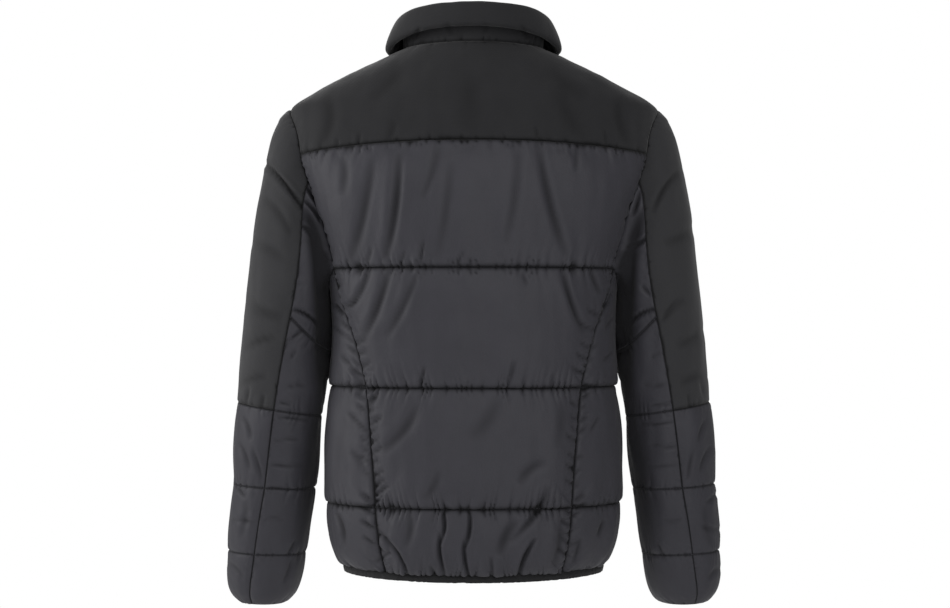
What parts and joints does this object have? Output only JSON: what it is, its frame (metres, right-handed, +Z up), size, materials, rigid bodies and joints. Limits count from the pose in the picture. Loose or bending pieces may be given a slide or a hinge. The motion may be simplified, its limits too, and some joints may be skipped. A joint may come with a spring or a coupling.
{
  "type": "down jacket",
  "caption": "Quilted down jacket in its worn shape with nobody in it: turned-down collar, plain yokes, padded channels, long sleeves, elastic hem and a closed front zip.",
  "frame": {"origin": "the middle of the neck opening at shoulder height, where the jacket is held when it is worn", "axes": "+Z up; the wearer's front faces -Y and the wearer's left is +X"},
  "size_m": [0.6364, 0.297, 0.7592],
  "materials": {
    "matte_shell": "matt black woven polyester",
    "satin_shell": "charcoal nylon with a soft sheen, quilted over down",
    "elastic_binding": "matt black elastic",
    "zip_tape": "matt black woven tape",
    "dark_metal": "dark painted zinc"
  },
  "bodies": {
    "jacket": {"back_panel": "satin_shell", "back_yoke": "matte_shell", "collar": "matte_shell", "front_panel_left": "satin_shell", "front_panel_right": "satin_shell", "front_yoke_left": "matte_shell", "front_yoke_right": "matte_shell", "hem_binding": "elastic_binding", "side_panel_left": "satin_shell", "side_panel_right": "satin_shell", "sleeve_lower_left": "satin_shell", "sleeve_lower_right": "satin_shell", "sleeve_under_left": "satin_shell", "sleeve_under_right": "satin_shell", "sleeve_upper_left": "matte_shell", "sleeve_upper_right": "matte_shell", "zip_tape_left": "zip_tape", "zip_tape_right": "zip_tape", "zip_slider": "dark_metal"},
    "pull": {"zip_pull": "dark_metal"}
  },
  "joints": [
    {"name": "pull_swing", "type": "hinge", "parent": "jacket", "child": "pull", "pos_m": [0, -0.08439, -0.09272], "axis": [-1, 0, 0], "range_deg": [0, 150]}
  ]
}
